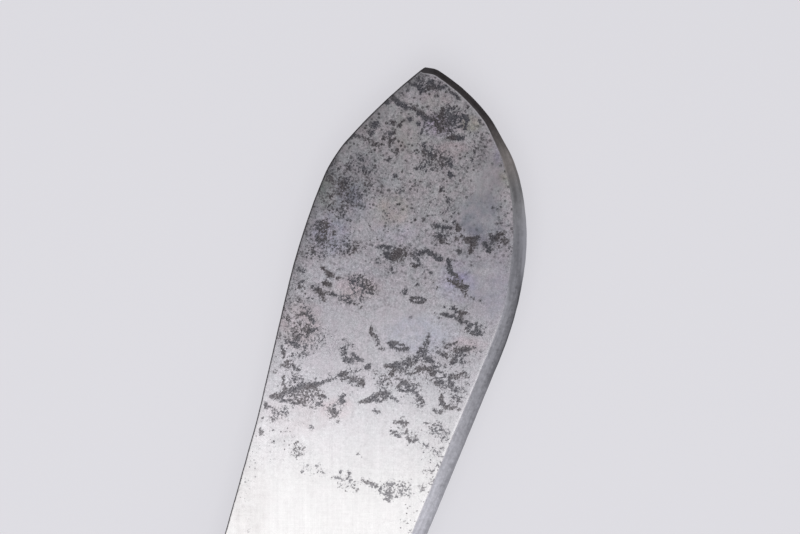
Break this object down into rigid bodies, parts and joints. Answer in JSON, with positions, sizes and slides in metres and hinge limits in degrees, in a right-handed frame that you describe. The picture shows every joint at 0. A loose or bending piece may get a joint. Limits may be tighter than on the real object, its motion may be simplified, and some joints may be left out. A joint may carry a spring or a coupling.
{
  "type": "machete",
  "caption": "Broad full-tang machete with a belly-heavy clipped blade, a ground cutting bevel, riveted wooden handle scales and a plain lanyard hole in the butt.",
  "frame": {"origin": "centre of the lanyard hole, midway through the blade's thickness", "axes": "+X from the butt to the tip along the blade, +Y towards the spine, +Z out of the right-hand face of the blade and along the lanyard hole"},
  "size_m": [0.5146, 0.0752, 0.024],
  "materials": {
    "blade_steel": "worn, stained carbon steel",
    "handle_wood": "dark oiled hardwood, worn smooth",
    "pin_steel": "dull peened steel",
    "burr_brass": "tarnished brass"
  },
  "bodies": {
    "root": {"blade": "blade_steel", "scale_left": "handle_wood", "scale_right": "handle_wood", "rivet_pin_1": "pin_steel", "rivet_pin_2": "pin_steel", "rivet_pin_3": "pin_steel", "rivet_pin_4": "pin_steel", "rivet_pin_5": "pin_steel", "burr_left_1": "burr_brass", "burr_left_2": "burr_brass", "burr_left_3": "burr_brass", "burr_left_4": "burr_brass", "burr_left_5": "burr_brass", "burr_right_1": "burr_brass", "burr_right_2": "burr_brass", "burr_right_3": "burr_brass", "burr_right_4": "burr_brass", "burr_right_5": "burr_brass"}
  },
  "joints": []
}
